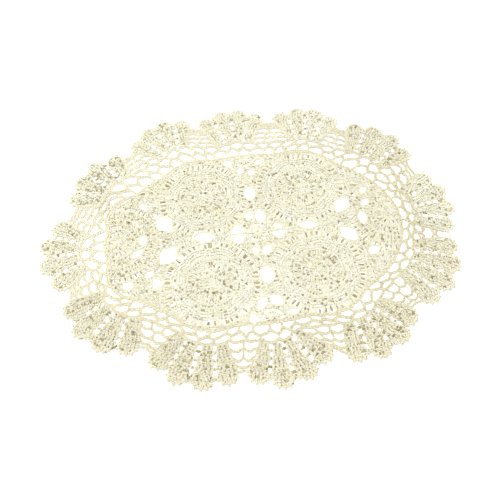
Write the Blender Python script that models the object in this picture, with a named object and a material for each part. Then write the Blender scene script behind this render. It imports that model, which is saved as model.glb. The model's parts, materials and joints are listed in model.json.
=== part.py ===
"""Oval lace doily, crocheted in one piece: a flat openwork sheet that lies on a table.

Four round motifs and two half motifs are joined by small spiders, then comes a ground of chain
loops, and twelve fans make the scalloped border. The sheet is one solid with its gaps cut
through. Lengths in the tables are in millimetres and angles in degrees, counted from +X.
"""

import math

import bpy

MM = 0.001

THICKNESS = 1.6 * MM
STRAND = 2.0  # width of the chain between two gaps of the ground

# The ground runs from this ellipse round the motifs to the feet of the fans
MOTIF_EDGE = {"x": -2.5, "y": 1.0, "a": 133.5, "b": 90.5}
GROUND_ROUNDS = (0.0, 0.54, 1.0)  # where each round ends, from the motifs to the feet
GROUND_LOOPS = 62  # in a round
STEPS_AT_FOOT = 6  # straight steps that the line along the feet takes in a fan

# The round motifs, and the corners of the half motif at the left, which reach past the ellipse
MOTIF_COLUMNS = ("x", "y", "radius")
MOTIFS = (
    (-45.7, 45.1, 46.0),
    (46.3, 46.6, 45.0),
    (46.0, -45.9, 42.5),
    (-46.4, -46.0, 44.5),
    (-108.0, -25.0, 28.0),
    (-108.0, 28.0, 28.0),
)

# x and y are the middle of a fan's foot, root the distance from its centre to the foot
FAN_COLUMNS = ("x", "y", "aim", "root", "reach", "spread")
FANS = (
    (-71, 109, 117, 26, 39.0, 17.9),
    (-8, 112, 92, 36, 43.0, 14.4),
    (61, 107, 76, 26, 42.0, 17.2),
    (117, 75, 46, 38, 41.0, 15.8),
    (146, 11, 6, 38, 38.0, 16.2),
    (130, -46, -33, 38, 41.5, 16.1),
    (77, -94, -62, 38, 38.3, 16.8),
    (4, -107, -79, 26, 39.5, 19.9),
    (-62, -101, -111, 38, 38.5, 17.0),
    (-130, -62, -131, 38, 37.0, 18.4),
    (-160, 0, -178, 26, 35.5, 22.7),
    (-132, 70, -220, 38, 33.5, 17.8),
)
RIBS = 4  # solid ribs in a fan, each ending in a scallop
SIDE_RIBS = (-0.45, 3.45)  # where a fan's two sides run, in ribs
SHORTER_OUTER_RIBS = 3.0
SCALLOP_RADIUS = 8.2
PICOT = {"turns": (-62, 0, 62), "width": 2.4, "height": 1.9}
SCALLOP_DEPTH = 6.2  # of the dip between two scallops
NOTCH_DEPTH = 16.5  # of the notch between two fans
NOTCH_RIM = 2.2
FIRST_FAN_GAP = 0.07  # places of the gaps between ribs, as shares of the reach
FAN_GAP_STEP = 0.18
CUT_FAN_ROWS = (2, 3)
FAN_GAP = {"length": 4.6, "width": 4.2}
WEDGE_LOOP = {"width": 10.0, "depth": 6.8}  # about, in the ground between two fans

# Gaps between and inside the motifs. length lies along turn, and a triangle points square to it
GAP_COLUMNS = ("form", "x", "y", "length", "width", "turn")
GAPS = (
    ("lens", -48.8, 1.6, 19, 9, -4),
    ("lens", 46.1, 3.0, 17, 7, -6),
    ("lens", -1.9, 45.8, 16, 9, 88),
    ("lens", 1.3, -44.1, 17, 11, 92),
    ("diamond", -83.8, 21.0, 18, 12, -58),
    ("diamond", -82.3, -13.4, 18, 13, 52),
    ("diamond", 80.9, 21.2, 17, 11, 52),
    ("diamond", 80.9, -11.3, 17, 11, -52),
    ("triangle", -18.4, 6.9, 16, 8, 0),
    ("triangle", -18.4, -4.6, 17, 9, 180),
    ("triangle", 18.4, 5.4, 11, 6, 0),
    ("triangle", 18.0, -3.6, 15, 8, 180),
    ("diamond", 3.8, 18.4, 14, 7, 86),
    ("diamond", -6.2, 20.2, 9, 5, 75),
    ("diamond", 5.2, -18.8, 9, 6, 60),
    ("diamond", -6.8, -70.4, 12, 6, 56),
    ("diamond", 5.6, -69.4, 12, 8, -48),
    ("triangle", -16.2, -83.2, 10, 8, 20),
    ("lens", 18.0, -82.0, 8, 4.2, 10),
    ("diamond", -18.4, 84.6, 7, 6, 30),
    ("diamond", 11.6, 82.4, 7, 5, 10),
    ("diamond", -7.6, 73.6, 6, 4.4, 80),
    ("lens", -103.6, 5.6, 11, 5.6, 84),
    ("lens", -109.4, -7.8, 12, 4.6, 42),
    ("lens", -99.6, -30.6, 8, 4.6, 45),
    ("triangle", -94.4, -38.4, 10, 8, 30),
    ("lens", -101.6, 42.4, 8, 4.6, -60),
    ("lens", 97.0, 4.6, 13, 6, 90),
    ("lens", 103.4, 21.4, 9, 4.4, 52),
    ("diamond", 99.0, -31.4, 9, 6, 20),
    ("diamond", -5.0, -17.6, 6, 4.2, -70),
    ("diamond", 2.8, 70.6, 6, 4.2, 80),
    ("lens", 104.8, 35.6, 7, 4.2, 60),
)


def rows(columns, table):
    return [dict(zip(columns, row)) for row in table]


def direction(degrees):
    angle = math.radians(degrees)
    return math.cos(angle), math.sin(angle)


def from_centre(centre, degrees, distance):
    dx, dy = direction(degrees)
    return centre[0] + distance * dx, centre[1] + distance * dy


def between(start, end, share):
    return tuple(a + (b - a) * share for a, b in zip(start, end))


def clear_of_motifs(point):
    """The point, moved outward where a motif reaches into the ground."""
    for motif in rows(MOTIF_COLUMNS, MOTIFS):
        dx = point[0] - motif["x"]
        dy = point[1] - motif["y"]
        away = math.hypot(dx, dy)
        if away < motif["radius"]:
            push = motif["radius"] / away
            point = motif["x"] + dx * push, motif["y"] + dy * push
    return point


def motif_edge_below(point):
    """The place on the edge of the motifs that lies inward of a point."""
    dx = (point[0] - MOTIF_EDGE["x"]) / MOTIF_EDGE["a"]
    dy = (point[1] - MOTIF_EDGE["y"]) / MOTIF_EDGE["b"]
    away = math.hypot(dx, dy)
    x = MOTIF_EDGE["x"] + MOTIF_EDGE["a"] * dx / away
    y = MOTIF_EDGE["y"] + MOTIF_EDGE["b"] * dy / away
    return clear_of_motifs((x, y))


def inset(corners, distance):
    """The polygon with each of its sides moved inward; the corners run counter-clockwise."""
    lines = []
    for start, end in zip(corners, corners[1:] + corners[:1]):
        dx, dy = end[0] - start[0], end[1] - start[1]
        length = math.hypot(dx, dy)
        normal = (-dy / length, dx / length)
        lines.append((normal, normal[0] * start[0] + normal[1] * start[1] + distance))
    moved = []
    for (first, a), (second, b) in zip(lines[-1:] + lines[:-1], lines):
        cross = first[0] * second[1] - first[1] * second[0]
        x = (a * second[1] - b * first[1]) / cross
        y = (b * first[0] - a * second[0]) / cross
        moved.append((x, y))
    return moved


def with_cut_corners(corners, share):
    """Each corner becomes two points, that share of a side away from it."""
    points = []
    for before, corner, after in zip(corners[-1:] + corners[:-1], corners, corners[1:] + corners[:1]):
        points.append(between(corner, before, share))
        points.append(between(corner, after, share))
    return points


class Fan:
    """One fan of the border, in polar places about the centre that its ribs run to."""

    def __init__(self, row):
        self.row = row
        self.centre = from_centre((row["x"], row["y"]), row["aim"] + 180, row["root"])

    def rib_turn(self, rib):
        """The direction of a rib, 0 to RIBS - 1 clockwise; half numbers lie between two ribs."""
        return self.row["aim"] - (rib - (RIBS - 1) / 2) * self.row["spread"]

    def at(self, rib, beyond_foot):
        return from_centre(self.centre, self.rib_turn(rib), self.row["root"] + beyond_foot)

    def tip(self, rib):
        is_outer = rib in (0, RIBS - 1)
        return self.row["reach"] - (SHORTER_OUTER_RIBS if is_outer else 0)

    def notch(self):
        return self.tip(0) - NOTCH_DEPTH


def picot_points(centre, turn):
    """The two outer corners of one picot on a scallop."""
    half_angle = math.degrees(PICOT["width"] / 2 / SCALLOP_RADIUS)
    radius = SCALLOP_RADIUS + PICOT["height"] / 2
    return [from_centre(centre, turn + side * half_angle, radius) for side in (1, -1)]


def scallop_points(fan, rib):
    """A scallop's rim from its first picot to its last, clockwise."""
    centre = fan.at(rib, fan.tip(rib) - SCALLOP_RADIUS - PICOT["height"] / 2)
    outward = fan.rib_turn(rib)
    points = []
    last = None
    for turn in PICOT["turns"]:
        if last is not None:
            middle = outward - (turn + last) / 2
            points.append(from_centre(centre, middle, SCALLOP_RADIUS - PICOT["height"] / 2))
        points += picot_points(centre, outward - turn)
        last = turn
    return points


def border_outline(fans):
    """The edge of the doily: the scallops of each fan, and the notch after it."""
    points = []
    for fan, following in zip(fans, fans[1:] + fans[:1]):
        for rib in range(RIBS):
            points += scallop_points(fan, rib)
            if rib < RIBS - 1:
                lower_tip = min(fan.tip(rib), fan.tip(rib + 1))
                points.append(fan.at(rib + 0.5, lower_tip - SCALLOP_DEPTH))
        leaving = fan.at(SIDE_RIBS[1], fan.notch())
        entering = following.at(SIDE_RIBS[0], following.notch())
        points.append(between(leaving, entering, 0.5))
    return points


def foot_line(fans):
    """The line along the feet of all the fans, clockwise and closed."""
    first, last = SIDE_RIBS
    line = []
    for fan in fans:
        for step in range(STEPS_AT_FOOT + 1):
            line.append(fan.at(first + (last - first) * step / STEPS_AT_FOOT, 0))
    return line + line[:1]


def place_on_line(line, share):
    """The point at that share of a line's length; a share past 1 goes round again."""
    lengths = [math.dist(start, end) for start, end in zip(line, line[1:])]
    left = share % 1 * sum(lengths)
    for start, end, length in zip(line, line[1:], lengths):
        if left <= length:
            return between(start, end, left / length)
        left -= length
    return line[-1]


def ground_place(feet, loop, share):
    """A place in the ground, share 0 at the motifs to 1 at the feet of the fans."""
    outer = place_on_line(feet, loop / GROUND_LOOPS)
    return between(motif_edge_below(outer), outer, share)


SIX_SIDES = ((0.0, 0.5), (0.18, 0.0), (0.82, 0.0), (1.0, 0.5), (0.82, 1.0), (0.18, 1.0))


def ground_gaps(fans):
    """The whole rounds of loops between the motifs and the fans, each round half a loop on."""
    gaps = []
    feet = foot_line(fans)
    for round_number, (start, end) in enumerate(zip(GROUND_ROUNDS, GROUND_ROUNDS[1:])):
        shift = 0.5 * (round_number % 2)
        for loop in range(GROUND_LOOPS):
            corners = []
            for across, out in SIX_SIDES:
                share = start + (end - start) * out
                corners.append(ground_place(feet, loop + shift + across, share))
            gaps.append(inset(corners, STRAND / 2))
    return gaps


def wedge_gaps(fans):
    """The rounds of loops that fill the wedge between two fans."""
    gaps = []
    for fan, following in zip(fans, fans[1:] + fans[:1]):
        depth = fan.notch() - NOTCH_RIM
        far_depth = following.notch() - NOTCH_RIM
        rounds = round(min(depth, far_depth) / WEDGE_LOOP["depth"])
        for round_number in range(rounds):
            middle = (round_number + 0.5) / rounds
            start = fan.at(SIDE_RIBS[1], middle * depth)
            end = following.at(SIDE_RIBS[0], middle * far_depth)
            loops = max(1, round(math.dist(start, end) / WEDGE_LOOP["width"]))
            for loop in range(loops):
                corners = []
                for across, out in SIX_SIDES:
                    filled = (round_number + out) / rounds
                    left = fan.at(SIDE_RIBS[1], filled * depth)
                    right = following.at(SIDE_RIBS[0], filled * far_depth)
                    corners.append(between(left, right, (loop + across) / loops))
                gaps.append(inset(corners, STRAND / 2))
    return gaps


def fan_gaps(fans):
    """The larger gaps between the ribs of the fans."""
    gaps = []
    for fan in fans:
        for row in CUT_FAN_ROWS:
            for rib in range(RIBS - 1):
                share = FIRST_FAN_GAP + row * FAN_GAP_STEP
                centre = fan.at(rib + 0.5, share * fan.row["reach"])
                turn = fan.rib_turn(rib + 0.5)
                gaps.append(shaped_gap("round", centre, FAN_GAP["length"], FAN_GAP["width"], turn))
    return gaps


def shaped_gap(form, centre, length, width, turn):
    """A gap's outline: lens, diamond, triangle or round."""
    half, rise = length / 2, width / 2
    if form == "triangle":
        corners = [(-half, -rise), (half, -rise), (0, rise)]
        points = with_cut_corners(corners, 0.12)
    elif form == "diamond":
        corners = [(-half, 0), (0, -rise), (half, 0), (0, rise)]
        points = with_cut_corners(corners, 0.2)
    elif form == "lens":
        shares = (-1, -0.6, 0, 0.6)
        lower = [(half * s, -rise * (1 - s * s)) for s in shares]
        points = lower + [(-x, -y) for x, y in lower]
    else:
        points = [(half * x, rise * y) for x, y in (direction(60 * k) for k in range(6))]
    dx, dy = direction(turn)
    return [(centre[0] + x * dx - y * dy, centre[1] + x * dy + y * dx) for x, y in points]


def motif_gaps():
    gaps = []
    for gap in rows(GAP_COLUMNS, GAPS):
        centre = (gap["x"], gap["y"])
        gaps.append(shaped_gap(gap["form"], centre, gap["length"], gap["width"], gap["turn"]))
    return gaps


def add_outline(curve, points, middle):
    """One closed polyline of the flat curve, with the doily's middle moved to the origin."""
    spline = curve.splines.new("POLY")
    spline.points.add(len(points) - 1)
    for point, (x, y) in zip(spline.points, points):
        point.co = ((x - middle[0]) * MM, (y - middle[1]) * MM, 0, 1)
    spline.use_cyclic_u = True


def cotton():
    material = bpy.data.materials.new("ecru_cotton")
    material.use_nodes = True
    shader = material.node_tree.nodes["Principled BSDF"]
    shader.inputs["Base Color"].default_value = (0.83, 0.77, 0.56, 1)
    shader.inputs["Roughness"].default_value = 0.85
    shader.inputs["Metallic"].default_value = 0.0
    return material


def build_doily(collection):
    fans = [Fan(row) for row in rows(FAN_COLUMNS, FANS)]
    outline = border_outline(fans)
    middle = [(min(p[k] for p in outline) + max(p[k] for p in outline)) / 2 for k in range(2)]
    curve = bpy.data.curves.new("doily", "CURVE")
    curve.dimensions = "2D"
    curve.fill_mode = "BOTH"
    curve.extrude = THICKNESS / 2
    add_outline(curve, outline, middle)
    for gap in ground_gaps(fans) + wedge_gaps(fans) + fan_gaps(fans) + motif_gaps():
        add_outline(curve, gap, middle)
    curve.materials.append(cotton())
    doily = bpy.data.objects.new("doily", curve)
    doily.location.z = THICKNESS / 2
    collection.objects.link(doily)
    print("gaps cut through:", len(curve.splines) - 1, "middle at", middle)
    return doily


def main():
    for obj in list(bpy.data.objects):
        bpy.data.objects.remove(obj, do_unlink=True)
    collection = bpy.data.collections.new("lace_doily")
    bpy.context.scene.collection.children.link(collection)
    build_doily(collection)


main()
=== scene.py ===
import json
import math
import random

import bpy
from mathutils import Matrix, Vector, noise

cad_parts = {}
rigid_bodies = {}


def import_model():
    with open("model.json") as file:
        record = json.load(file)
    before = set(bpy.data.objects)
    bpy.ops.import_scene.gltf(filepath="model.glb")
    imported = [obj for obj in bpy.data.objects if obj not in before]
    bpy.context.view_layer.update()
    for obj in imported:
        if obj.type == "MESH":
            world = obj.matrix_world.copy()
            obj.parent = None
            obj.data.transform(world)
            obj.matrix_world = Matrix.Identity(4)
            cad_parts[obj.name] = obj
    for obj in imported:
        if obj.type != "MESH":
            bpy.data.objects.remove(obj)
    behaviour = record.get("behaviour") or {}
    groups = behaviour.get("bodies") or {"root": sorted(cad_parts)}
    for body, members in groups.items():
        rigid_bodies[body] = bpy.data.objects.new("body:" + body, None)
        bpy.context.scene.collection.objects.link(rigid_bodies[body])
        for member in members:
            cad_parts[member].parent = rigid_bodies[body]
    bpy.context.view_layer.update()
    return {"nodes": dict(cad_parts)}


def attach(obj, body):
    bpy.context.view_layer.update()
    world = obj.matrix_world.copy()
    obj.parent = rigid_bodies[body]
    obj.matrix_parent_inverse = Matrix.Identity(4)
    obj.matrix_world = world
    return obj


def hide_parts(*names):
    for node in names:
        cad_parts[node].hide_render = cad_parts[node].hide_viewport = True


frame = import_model()
print("frame loaded:", ", ".join(frame["nodes"]))

mm = 0.001

# The charts below are in millimetres and degrees, about a point between the four round motifs
layout = {
    "middleX": -5.355,  # where that point lies from the middle of the outline, with the sign turned
    "middleY": 3.913,
    "restHeight": 1.3,  # of the yarn's middle over the table
    "waveHeight": 0.7,
    "waveLength": 34.0,
    "waveSeed": 3.1,
    "waveMiddle": 0.45,  # the more, the more of the doily lies up from the table
}


def direction(degrees):
    angle = math.radians(degrees)
    return math.cos(angle), math.sin(angle)


def fromCentre(centre, degrees, distance):
    dx, dy = direction(degrees)
    return centre[0] + distance * dx, centre[1] + distance * dy


def between(start, end, share):
    return tuple(a + (b - a) * share for a, b in zip(start, end))


def rows(columns, table):
    return [dict(zip(columns, row)) for row in table]


def inside(point, polygon):
    found = False
    for (ax, ay), (bx, by) in zip(polygon, polygon[1:] + polygon[:1]):
        if (ay > point[1]) != (by > point[1]):
            if point[0] < ax + (point[1] - ay) * (bx - ax) / (by - ay):
                found = not found
    return found


# How high the cotton lies at a place: the doily isn't quite flat
def layHeight(point):
    spot = Vector((point[0] / layout["waveLength"], point[1] / layout["waveLength"], layout["waveSeed"]))
    rise = max(0.0, layout["waveMiddle"] + noise.noise(spot))
    return layout["restHeight"] + layout["waveHeight"] * rise


# The stitches that everything is worked in, and the flat yarn behind them. Sizes in mm, along,
# across and up; yarn is the radius of a strand
stitches = {
    "link": {"length": 3.0, "width": 2.1, "height": 1.7, "yarn": 0.52},
    "post": {"length": 6.5, "width": 2.9, "height": 2.0, "yarn": 0.66, "turns": 1.5, "steps": 6},
    "stub": {"length": 3.2, "width": 2.8, "height": 2.0, "yarn": 0.58, "turns": 0.75, "steps": 3},
    "knot": {"length": 2.4, "width": 2.4, "height": 1.9},
    "picot": {"length": 3.6, "width": 3.4, "height": 1.7, "yarn": 0.8},
    "back": {"length": 4.0, "width": 2.1, "height": 0.3},
}
strandSides = 4
twists = {"post": (0, 60, 120), "stub": (0, 60, 120)}  # how far each form of them is turned about itself
strandEnd = 0.62  # how thick a strand is at its ends, as a share
longStub = 4.8  # mm, past which a stitch is a post
prototypes = [(stitch, twist) for stitch in stitches for twist in twists.get(stitch, (0,))]


def faceUvs(ring, k, sides):
    near, far = k / sides, (k + 1) / sides
    return [(ring, near), (ring, far), (ring + 1, far), (ring + 1, near)]


# Adds a round strand along a path; an open one is closed at both ends
def tube(verts, faces, uvs, path, radius, sides, closed):
    first = len(verts)
    count = len(path)
    for i, point in enumerate(path):
        ahead = path[(i + 1) % count] if closed or i < count - 1 else point
        behind = path[i - 1] if closed or i > 0 else point
        along = (ahead - behind).normalized()
        side = along.cross(Vector((0, 0, 1))).normalized()
        up = side.cross(along)
        size = radius * (strandEnd if not closed and i in (0, count - 1) else 1.0)
        for k in range(sides):
            turn = 2 * math.pi * (k + 0.5) / sides
            verts.append(point + size * (math.cos(turn) * side + math.sin(turn) * up))
    for i in range(count if closed else count - 1):
        for k in range(sides):
            a = first + i * sides + k
            b = first + i * sides + (k + 1) % sides
            c = first + (i + 1) % count * sides + (k + 1) % sides
            d = first + (i + 1) % count * sides + k
            faces.append((a, b, c, d))
            uvs += faceUvs(i, k, sides)
    if not closed:
        faces.append(tuple(first + k for k in reversed(range(sides))))
        faces.append(tuple(first + (count - 1) * sides + k for k in range(sides)))
        uvs += [(0, 0)] * (2 * sides)


# One stitch that runs from the origin along +Y, each of its sizes made 1
def stitchMesh(kind, twist):
    form = stitches[kind]
    length, width, height = form["length"], form["width"], form["height"]
    verts, faces, uvs = [], [], []
    if kind == "link":
        yarn = form["yarn"]
        reach = width / 2 - yarn
        rise = height / 2 - yarn
        path = [
            Vector((0, -0.16 * length, -rise)),
            Vector((0.62 * reach, 0.16 * length, -0.4 * rise)),
            Vector((reach, 0.62 * length, 0.5 * rise)),
            Vector((0.52 * reach, 1.02 * length, rise)),
            Vector((-0.52 * reach, 1.02 * length, rise)),
            Vector((-reach, 0.62 * length, 0.5 * rise)),
            Vector((-0.62 * reach, 0.16 * length, -0.4 * rise)),
        ]
        tube(verts, faces, uvs, path, yarn, strandSides, True)
    elif kind in ("post", "stub"):
        offset = width / 2 - form["yarn"]
        for strand in range(2):
            path = []
            for step in range(form["steps"] + 1):
                share = step / form["steps"]
                turn = 2 * math.pi * form["turns"] * share + math.pi * strand + math.radians(twist)
                x = offset * math.cos(turn)
                z = 0.5 * offset * math.sin(turn)
                path.append(Vector((x, length * (1.06 * share - 0.03), z)))
            tube(verts, faces, uvs, path, form["yarn"], strandSides, False)
    elif kind == "picot":
        reach = length / 2 - form["yarn"]
        path = []
        for step in range(7):
            dx, dy = direction(360 * step / 7 - 90)
            path.append(Vector((reach * dx, reach * (1 + dy), 0.12 * dx)))
        tube(verts, faces, uvs, path, form["yarn"], strandSides, True)
    else:
        sides = 6 if kind == "knot" else 4
        for share, size in ((0.1, 0.6), (0.5, 1.0), (0.9, 0.6)):
            for k in range(sides):
                dx, dy = direction(360 * (k + 0.5) / sides)
                verts.append(Vector((dx * size * width / 2, share * length, dy * size * height / 2)))
        for ring in range(2):
            for k in range(sides):
                a, b = sides * ring + k, sides * ring + (k + 1) % sides
                faces.append((b, a, a + sides, b + sides))
                uvs += faceUvs(ring, k, sides)
        faces.append(tuple(range(sides)))
        faces.append(tuple(reversed(range(2 * sides, 3 * sides))))
        uvs += [(0, 0)] * (2 * sides)
    mesh = bpy.data.meshes.new("stitch_" + kind)
    mesh.from_pydata([(v.x / width, v.y / length, v.z / height) for v in verts], [], faces)
    layer = mesh.uv_layers.new(name="UVMap")
    for corner, uv in zip(layer.data, uvs):
        corner.uv = uv
    riseLayer = mesh.attributes.new("rise", "FLOAT", "POINT")  # 0 at the stitch's underside, 1 on top
    middle, spread = (0.1, 1 / 3) if kind == "back" else (0.5, 1.0)  # the flat yarn behind is all in the painted shade colour
    for entry, vert in zip(riseLayer.data, verts):
        entry.value = middle + spread * vert.z / height
    mesh.update()
    return mesh


def postFor(start, end):
    return "post" if math.dist(start, end) > longStub else "stub"


def stitchCollection():
    collection = bpy.data.collections.new("stitches")
    bpy.context.scene.collection.children.link(collection)
    for number, (kind, twist) in enumerate(prototypes):
        obj = bpy.data.objects.new(f"stitch{number}_{kind}", stitchMesh(kind, twist))
        obj.hide_render = True
        collection.objects.link(obj)
    return collection


# Where the work is drawn up in folds, as ellipses: the stitches there give way to flat yarn in dark brown
# painted shade
foldShadeSpots = rows(
    ("x", "y", "length", "width", "turn"),
    (
        (-119.4, 66.4, 11, 4, 22),
        (-112.5, 60.2, 9, 3, 0),
        (-114.8, 55.4, 7, 3, 0),
        (-134.8, 60.3, 6, 4, 40),
        (-139.3, 93.1, 5, 4, 0),
        (-145.3, 80.6, 5, 4, 0),
        (-140.0, 75.6, 5, 4, 0),
        (-135.3, 71.7, 5, 3, 0),
        (60.9, -102.9, 6, 4, 60),
        (70.6, -103.5, 6, 4, 60),
        (68.7, -111.4, 5, 4, 90),
        (84.5, -114.6, 7, 4, -60),
        (53.2, -121.8, 7, 4, 10),
        (69.0, -118.9, 5, 4, 90),
        (1.9, -87.4, 6, 4, 20),
    ),
)
# The flat yarn in the folds: lowered, wide and given full tan and painted shade
foldShadeYarn = {"width": 3.4, "raised": -0.3, "warmth": 2.4}

# The net's yarn is palest along the far edge and tannest along the near one, where the painted shade
# also reaches higher up its links and the yarn is thinner. Its tan and shade change by so much for each
# mm across and up
netYarn = {
    "middle": 1.1,
    "perX": 0.004,
    "perY": -0.006,
    "palest": 0.55,
    "mostTanAndShade": 1.6,
    "width": 1.2,
    "thinner": 0.18,
}


def netTanAndShade(point):
    warmth = netYarn["middle"] + netYarn["perY"] * point[1] + netYarn["perX"] * point[0]
    return min(netYarn["mostTanAndShade"], max(netYarn["palest"], warmth))


def inFoldShade(point):
    for paintedShade in foldShadeSpots:
        turn = math.radians(paintedShade["turn"])
        x, y = point[0] - paintedShade["x"], point[1] - paintedShade["y"]
        along = x * math.cos(turn) + y * math.sin(turn)
        across = y * math.cos(turn) - x * math.sin(turn)
        if math.hypot(2 * along / paintedShade["length"], 2 * across / paintedShade["width"]) < 1:
            return True
    return False


# The stitches of one piece, as they are worked: where each starts and ends, and its width
class Chart:
    # A piece's tan amount also raises the painted shade on its stitches
    def __init__(self, name, lift=layHeight, tanAndShade=0.0):
        self.name = name
        self.lift = lift
        self.tanAndShade = tanAndShade
        self.netTanAndShadeOf = None
        self.stitches = []
        self.chance = random.Random(name)

    def add(self, kind, start, end, width=None, height=None, raised=0.0):
        warmth = self.tanAndShade
        # In a fold, a stitch gives way to flat yarn in dark painted shade
        if kind in ("stub", "post", "knot") and inFoldShade(between(start, end, 0.5)):
            kind, width, height = "back", foldShadeYarn["width"], None
            raised, warmth = foldShadeYarn["raised"], foldShadeYarn["warmth"]
        form = stitches[kind]
        twist = self.chance.choice(twists.get(kind, (0,)))
        width = width or form["width"]
        if kind == "link" and self.netTanAndShadeOf:
            warmth = self.netTanAndShadeOf(start)
            width *= netYarn["width"] - netYarn["thinner"] * warmth
        self.stitches.append(
            {
                "kind": prototypes.index((kind, twist)),
                "start": (start[0], start[1], self.lift(start) + raised),
                "end": (end[0], end[1], self.lift(end) + raised),
                "width": width,
                "height": height or form["height"],
                "warmth": warmth,
            }
        )

    # Links of even length along a line
    def chain(self, points, closed=False, width=None, raised=0.0, pitch=None):
        line = list(points) + (list(points[:1]) if closed else [])
        lengths = [math.dist(a, b) for a, b in zip(line, line[1:])]
        count = max(1, round(sum(lengths) / (pitch or stitches["link"]["length"])))
        stops = [line[0]]
        passed, segment = 0.0, 0
        for n in range(1, count + 1):
            target = sum(lengths) * n / count
            while segment < len(lengths) - 1 and passed + lengths[segment] < target:
                passed += lengths[segment]
                segment += 1
            share = (target - passed) / lengths[segment]
            stops.append(between(line[segment], line[segment + 1], min(1.0, share)))
        for start, end in zip(stops, stops[1:]):
            self.add("link", start, end, width, None, raised)


# A mesh of one point for each stitch, with what the node tree needs on it
def chartObject(chart):
    mesh = bpy.data.meshes.new(chart.name + "Chart")
    places = []
    for stitch in chart.stitches:
        x, y, z = stitch["start"]
        places.append(((x - layout["middleX"]) * mm, (y - layout["middleY"]) * mm, z * mm))
    mesh.from_pydata(places, [], [])
    for name, form in (
        ("kind", "INT"),
        ("aim", "FLOAT_VECTOR"),
        ("size", "FLOAT_VECTOR"),
        ("warmth", "FLOAT"),
    ):
        mesh.attributes.new(name, form, "POINT")
    kind, aim, size, warmth = (mesh.attributes[name] for name in ("kind", "aim", "size", "warmth"))
    for n, stitch in enumerate(chart.stitches):
        run = Vector(stitch["end"]) - Vector(stitch["start"])
        flat = math.hypot(run.x, run.y)
        kind.data[n].value = stitch["kind"]
        aim.data[n].vector = (math.atan2(run.z, flat), 0, math.atan2(run.y, run.x) - math.pi / 2)
        warmth.data[n].value = stitch["warmth"]
        size.data[n].vector = (stitch["width"] * mm, run.length * mm, stitch["height"] * mm)
    obj = bpy.data.objects.new(chart.name, mesh)
    bpy.context.scene.collection.objects.link(obj)
    return obj


# How unevenly the work is done, by hand
handwork = {"shift": 0.22, "turn": 6.0, "sizeLeast": 0.94, "sizeMost": 1.1, "seed": 7}


# Returns a function that adds a node. An input is given a value, or another node's output
def nodeMaker(tree):
    def add(form, inputs=None, **settings):
        node = tree.nodes.new(form)
        for name, value in settings.items():
            setattr(node, name, value)
        for name, value in (inputs or {}).items():
            give(tree, node.inputs[name], value)
        return node

    return add


def give(tree, socket, value):
    if isinstance(value, bpy.types.NodeSocket):
        tree.links.new(value, socket)
    else:
        socket.default_value = value


# Puts a stitch at each point of a chart, a little unevenly
def crochetTree():
    tree = bpy.data.node_groups.new("crochetWork", "GeometryNodeTree")
    sockets = {}
    for name, form in (
        ("Chart", "NodeSocketGeometry"),
        ("Stitches", "NodeSocketCollection"),
        ("Shift", "NodeSocketFloat"),
        ("Turn", "NodeSocketFloat"),
        ("Least size", "NodeSocketFloat"),
        ("Most size", "NodeSocketFloat"),
        ("Seed", "NodeSocketInt"),
        ("Yarn", "NodeSocketMaterial"),
    ):
        sockets[name] = tree.interface.new_socket(name=name, in_out="INPUT", socket_type=form).identifier
    tree.interface.new_socket(name="Work", in_out="OUTPUT", socket_type="NodeSocketGeometry")
    add = nodeMaker(tree)
    given = add("NodeGroupInput").outputs
    made = add("NodeGroupOutput")

    def named(name, form):
        return add("GeometryNodeInputNamedAttribute", {"Name": name}, data_type=form).outputs["Attribute"]

    def shuffled(form, least, most, draw):
        seed = add("ShaderNodeMath", {0: given["Seed"], 1: draw}, operation="ADD")
        node = add("FunctionNodeRandomValue", {"Seed": seed.outputs[0]}, data_type=form)
        live = [s for s in node.inputs if s.enabled]
        give(tree, live[0], least)
        give(tree, live[1], most)
        return next(s for s in node.outputs if s.enabled)

    def scaled(vector, factor):
        return add("ShaderNodeVectorMath", {0: vector, "Scale": factor}, operation="SCALE").outputs[0]

    shift = scaled(shuffled("FLOAT_VECTOR", (-1, -1, -0.5), (1, 1, 0.7), 55), given["Shift"])
    moved = add("GeometryNodeSetPosition", {"Geometry": given["Chart"], "Offset": shift})

    aimed = add("FunctionNodeEulerToRotation", {0: named("aim", "FLOAT_VECTOR")})
    wobble = scaled(shuffled("FLOAT_VECTOR", (-1, -2.5, -1), (1, 2.5, 1), 121), given["Turn"])
    swung = add("FunctionNodeEulerToRotation", {0: wobble})
    turned = add(
        "FunctionNodeRotateRotation",
        {"Rotation": aimed.outputs[0], "Rotate By": swung.outputs[0]},
        rotation_space="LOCAL",
    )
    growth = shuffled("FLOAT", given["Least size"], given["Most size"], 176)
    forms = add(
        "GeometryNodeCollectionInfo",
        {"Collection": given["Stitches"], "Separate Children": True, "Reset Children": True},
    )
    worked = add(
        "GeometryNodeInstanceOnPoints",
        {
            "Points": moved.outputs["Geometry"],
            "Instance": forms.outputs["Instances"],
            "Pick Instance": True,
            "Instance Index": named("kind", "INT"),
            "Rotation": turned.outputs[0],
            "Scale": scaled(named("size", "FLOAT_VECTOR"), growth),
        },
    )
    toned = add("GeometryNodeStoreNamedAttribute", data_type="FLOAT", domain="INSTANCE")
    toned.inputs["Name"].default_value = "shade"
    tree.links.new(worked.outputs["Instances"], toned.inputs["Geometry"])
    shade = next(s for s in toned.inputs if s.name == "Value" and s.enabled)
    tree.links.new(shuffled("FLOAT", 0.0, 1.0, 253), shade)

    real = add("GeometryNodeRealizeInstances", {"Geometry": toned.outputs["Geometry"]})
    smooth = add("GeometryNodeSetShadeSmooth", {"Geometry": real.outputs["Geometry"]})
    finish = {"Geometry": smooth.outputs["Geometry"], "Material": given["Yarn"]}
    finished = add("GeometryNodeSetMaterial", finish)
    tree.links.new(finished.outputs["Geometry"], made.inputs["Work"])
    return tree, sockets
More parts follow.
